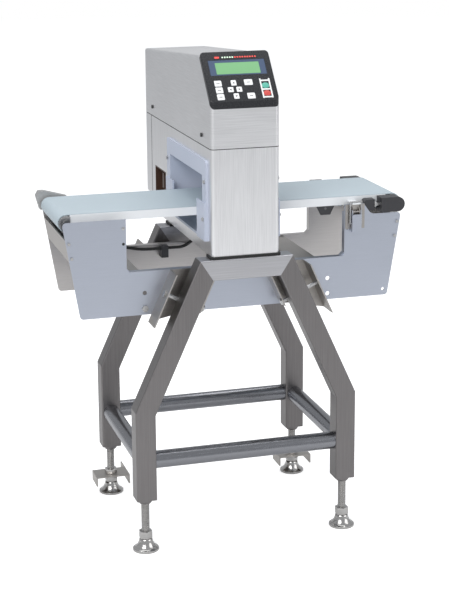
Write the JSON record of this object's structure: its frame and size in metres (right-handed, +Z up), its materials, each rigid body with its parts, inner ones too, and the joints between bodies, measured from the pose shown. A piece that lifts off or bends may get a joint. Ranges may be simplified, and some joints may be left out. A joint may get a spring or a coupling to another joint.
{
  "type": "conveyor metal detector",
  "caption": "Metal detector with a short belt conveyor through its tunnel head, sloped control panel, splayed square-tube stand and levelling feet.",
  "frame": {"origin": "on the floor under the middle of the whole machine's length and width", "axes": "+Z up, X along the belt with the infeed at -X and the outfeed at +X, -Y towards the operator and the control panel's side"},
  "size_m": [0.8794, 0.6595, 1.2033],
  "materials": {
    "stainless_tube": "satin ground stainless",
    "stainless_sheet": "brushed stainless sheet",
    "head_steel": "fine brushed stainless",
    "bolt_steel": "plain steel",
    "foot_steel": "machined stainless",
    "drum_steel": "turned steel",
    "rail_white": "pale anodised",
    "belt_white": "matt",
    "drive_cover_grey": "cast, painted light grey",
    "carrier_black": "moulded",
    "roller_plastic": "moulded",
    "liner_white": "smooth white plastic",
    "coil_copper": "varnished copper winding",
    "board_green": "printed circuit board",
    "connector_brown": "moulded",
    "gasket_black": "matt",
    "screw_black": "blackened",
    "bezel_black": "glossy",
    "display_window": "backlit green display behind a clear window",
    "key_grey": "membrane key",
    "key_green": "membrane key",
    "key_red": "membrane key",
    "cable_black": "matt",
    "clip_black": "moulded"
  },
  "bodies": {
    "stand_and_head": {"base_gasket": "gasket_black", "belt": "belt_white", "cable_fittings": "clip_black", "conveyor_rails": "rail_white", "cover_screws": "screw_black", "cross_members": "stainless_sheet", "display_window": "display_window", "drive_end_cover": "drive_cover_grey", "drum_supports": "drum_steel", "electronics": "board_green", "fasteners": "bolt_steel", "front_beam": "stainless_tube", "head_housing": "head_steel", "latch_bases": "stainless_sheet", "leg_brackets": "stainless_sheet", "leg_front_left": "stainless_tube", "leg_front_right": "stainless_tube", "leg_rear_left": "stainless_tube", "leg_rear_right": "stainless_tube", "motor_cable": "cable_black", "panel_bezel": "bezel_black", "rail_supports": "stainless_sheet", "rear_beam": "stainless_tube", "rear_cover": "head_steel", "receive_coils": "coil_copper", "roller_brackets": "carrier_black", "side_plate_front": "stainless_sheet", "side_plate_rear": "stainless_sheet", "signal_connector": "connector_brown", "slider_bed": "stainless_sheet", "stretcher_tubes": "stainless_tube", "transmit_coil": "coil_copper", "tunnel_liner": "liner_white", "upper_cover": "head_steel"},
    "levelling_foot_front_left": {"foot_front_left": "foot_steel"},
    "levelling_foot_front_right": {"foot_front_right": "foot_steel"},
    "levelling_foot_rear_left": {"foot_rear_left": "foot_steel", "anchor_bracket_left": "stainless_sheet"},
    "levelling_foot_rear_right": {"foot_rear_right": "foot_steel", "anchor_bracket_right": "stainless_sheet"},
    "drive_drum_body": {"drive_drum": "drum_steel"},
    "take_up": {"idler_carriers": "carrier_black"},
    "idler": {"idler_roller": "drum_steel"},
    "infeed_return_roller": {"return_roller_infeed": "roller_plastic"},
    "outfeed_return_roller": {"return_roller_outfeed": "roller_plastic"},
    "latch_lever_front_body": {"latch_lever_front": "stainless_sheet"},
    "latch_bail_front_body": {"latch_bail_front": "bolt_steel"},
    "latch_lever_rear_body": {"latch_lever_rear": "stainless_sheet"},
    "latch_bail_rear_body": {"latch_bail_rear": "bolt_steel"},
    "key_menu_top_body": {"key_menu_top": "key_grey"},
    "key_menu_middle_body": {"key_menu_middle": "key_grey"},
    "key_menu_bottom_body": {"key_menu_bottom": "key_grey"},
    "key_up_body": {"key_up": "key_grey"},
    "key_left_body": {"key_left": "key_grey"},
    "key_right_body": {"key_right": "key_grey"},
    "key_down_body": {"key_down": "key_grey"},
    "key_select_body": {"key_select": "key_grey"},
    "key_enter_body": {"key_enter": "key_grey"},
    "key_start_body": {"key_start": "key_green"},
    "key_stop_body": {"key_stop": "key_red"}
  },
  "joints": [
    {"name": "foot_front_left_height", "type": "slide", "parent": "stand_and_head", "child": "levelling_foot_front_left", "axis": [0, 0, -1], "range_m": [-0.05, 0.04]},
    {"name": "foot_front_right_height", "type": "slide", "parent": "stand_and_head", "child": "levelling_foot_front_right", "axis": [0, 0, -1], "range_m": [-0.05, 0.04]},
    {"name": "foot_rear_left_height", "type": "slide", "parent": "stand_and_head", "child": "levelling_foot_rear_left", "axis": [0, 0, -1], "range_m": [-0.05, 0.04]},
    {"name": "foot_rear_right_height", "type": "slide", "parent": "stand_and_head", "child": "levelling_foot_rear_right", "axis": [0, 0, -1], "range_m": [-0.05, 0.04]},
    {"name": "drive_drum_turn", "type": "hinge", "parent": "stand_and_head", "child": "drive_drum_body", "pos_m": [-0.40882, -0.10025, 0.81135], "axis": [0, 1, 0], "continuous": true},
    {"name": "take_up_slide", "type": "slide", "parent": "stand_and_head", "child": "take_up", "axis": [-1, 0, 0], "range_m": [0, 0.008], "deforming": ["belt"]},
    {"name": "idler_turn", "type": "hinge", "parent": "take_up", "child": "idler", "pos_m": [0.41918, -0.10025, 0.81135], "axis": [0, 1, 0], "continuous": true},
    {"name": "infeed_return_turn", "type": "hinge", "parent": "stand_and_head", "child": "infeed_return_roller", "pos_m": [-0.32482, -0.10025, 0.80485], "axis": [0, 1, 0], "continuous": true},
    {"name": "outfeed_return_turn", "type": "hinge", "parent": "stand_and_head", "child": "outfeed_return_roller", "pos_m": [0.24118, -0.10025, 0.80485], "axis": [0, 1, 0], "continuous": true},
    {"name": "latch_lever_front_swing", "type": "hinge", "parent": "stand_and_head", "child": "latch_lever_front_body", "pos_m": [0.30817, -0.25125, 0.8], "axis": [-1, 0, 0], "range_deg": [0, 120]},
    {"name": "latch_bail_front_swing", "type": "hinge", "parent": "latch_lever_front_body", "child": "latch_bail_front_body", "pos_m": [0.30817, -0.24975, 0.77], "axis": [-1, 0, 0], "range_deg": [-150, 0]},
    {"name": "latch_lever_rear_swing", "type": "hinge", "parent": "stand_and_head", "child": "latch_lever_rear_body", "pos_m": [0.30817, 0.05075, 0.8], "axis": [1, 0, 0], "range_deg": [0, 120]},
    {"name": "latch_bail_rear_swing", "type": "hinge", "parent": "latch_lever_rear_body", "child": "latch_bail_rear_body", "pos_m": [0.30817, 0.04925, 0.77], "axis": [1, 0, 0], "range_deg": [-150, 0]},
    {"name": "key_menu_top_press", "type": "slide", "parent": "stand_and_head", "child": "key_menu_top_body", "axis": [0, 0.7588, -0.6513], "range_m": [0, 0.0005], "stiffness_N_per_m": 2000, "springref_m": -0.0005},
    {"name": "key_menu_middle_press", "type": "slide", "parent": "stand_and_head", "child": "key_menu_middle_body", "axis": [0, 0.7588, -0.6513], "range_m": [0, 0.0005], "stiffness_N_per_m": 2000, "springref_m": -0.0005},
    {"name": "key_menu_bottom_press", "type": "slide", "parent": "stand_and_head", "child": "key_menu_bottom_body", "axis": [0, 0.7588, -0.6513], "range_m": [0, 0.0005], "stiffness_N_per_m": 2000, "springref_m": -0.0005},
    {"name": "key_up_press", "type": "slide", "parent": "stand_and_head", "child": "key_up_body", "axis": [0, 0.7588, -0.6513], "range_m": [0, 0.0005], "stiffness_N_per_m": 2000, "springref_m": -0.0005},
    {"name": "key_left_press", "type": "slide", "parent": "stand_and_head", "child": "key_left_body", "axis": [0, 0.7588, -0.6513], "range_m": [0, 0.0005], "stiffness_N_per_m": 2000, "springref_m": -0.0005},
    {"name": "key_right_press", "type": "slide", "parent": "stand_and_head", "child": "key_right_body", "axis": [0, 0.7588, -0.6513], "range_m": [0, 0.0005], "stiffness_N_per_m": 2000, "springref_m": -0.0005},
    {"name": "key_down_press", "type": "slide", "parent": "stand_and_head", "child": "key_down_body", "axis": [0, 0.7588, -0.6513], "range_m": [0, 0.0005], "stiffness_N_per_m": 2000, "springref_m": -0.0005},
    {"name": "key_select_press", "type": "slide", "parent": "stand_and_head", "child": "key_select_body", "axis": [0, 0.7588, -0.6513], "range_m": [0, 0.0005], "stiffness_N_per_m": 2000, "springref_m": -0.0005},
    {"name": "key_enter_press", "type": "slide", "parent": "stand_and_head", "child": "key_enter_body", "axis": [0, 0.7588, -0.6513], "range_m": [0, 0.0005], "stiffness_N_per_m": 2000, "springref_m": -0.0005},
    {"name": "key_start_press", "type": "slide", "parent": "stand_and_head", "child": "key_start_body", "axis": [0, 0.7588, -0.6513], "range_m": [0, 0.0005], "stiffness_N_per_m": 2000, "springref_m": -0.0005},
    {"name": "key_stop_press", "type": "slide", "parent": "stand_and_head", "child": "key_stop_body", "axis": [0, 0.7588, -0.6513], "range_m": [0, 0.0005], "stiffness_N_per_m": 2000, "springref_m": -0.0005}
  ],
  "couplings": [
    {"joint": "idler_turn", "follows": "drive_drum_turn", "ratio": 1},
    {"joint": "infeed_return_turn", "follows": "drive_drum_turn", "ratio": -2.2883},
    {"joint": "outfeed_return_turn", "follows": "drive_drum_turn", "ratio": -2.2883},
    {"joint": "latch_bail_front_swing", "follows": "latch_lever_front_swing", "ratio": -1.25},
    {"joint": "latch_bail_rear_swing", "follows": "latch_lever_rear_swing", "ratio": -1.25}
  ]
}
